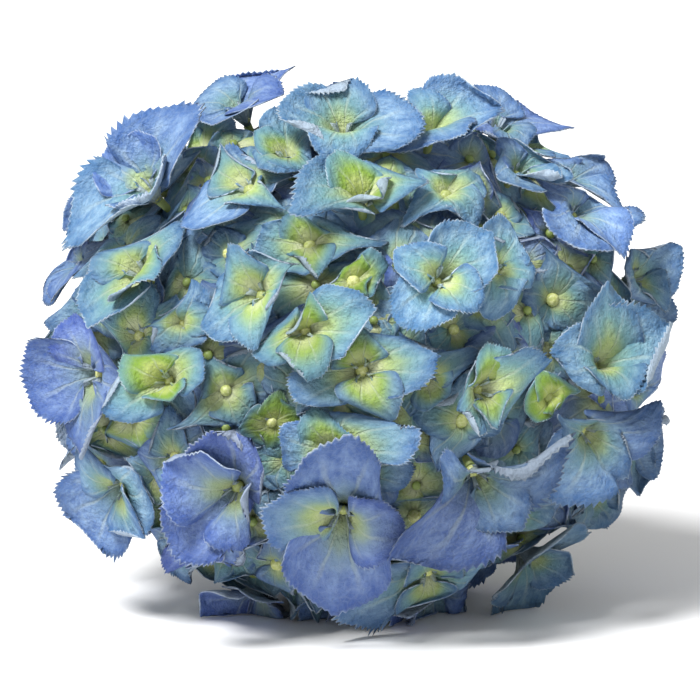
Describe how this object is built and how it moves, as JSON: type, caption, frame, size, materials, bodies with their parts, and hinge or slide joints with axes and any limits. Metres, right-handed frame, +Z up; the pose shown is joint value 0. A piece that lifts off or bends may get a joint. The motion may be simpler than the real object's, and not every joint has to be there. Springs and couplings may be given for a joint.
{
  "type": "cut hydrangea flower head",
  "caption": "Domed mophead hydrangea flower head of overlapping four-sepal florets on a short woody stem, lying on its lower rim and the stem's slanted cut.",
  "frame": {"origin": "on the surface the flower lies on, below the middle of its outline", "axes": "+Z up from the surface, the flower head looks towards -Y and up, the stem runs back to +Y"},
  "size_m": [0.204, 0.2242, 0.1684],
  "materials": {
    "sepals": "matte, blue to periwinkle with yellow-green hearts",
    "stem": "green, half woody, with pale pores"
  },
  "bodies": {
    "root": {"flower_head": "sepals", "stem": "stem"}
  },
  "joints": []
}
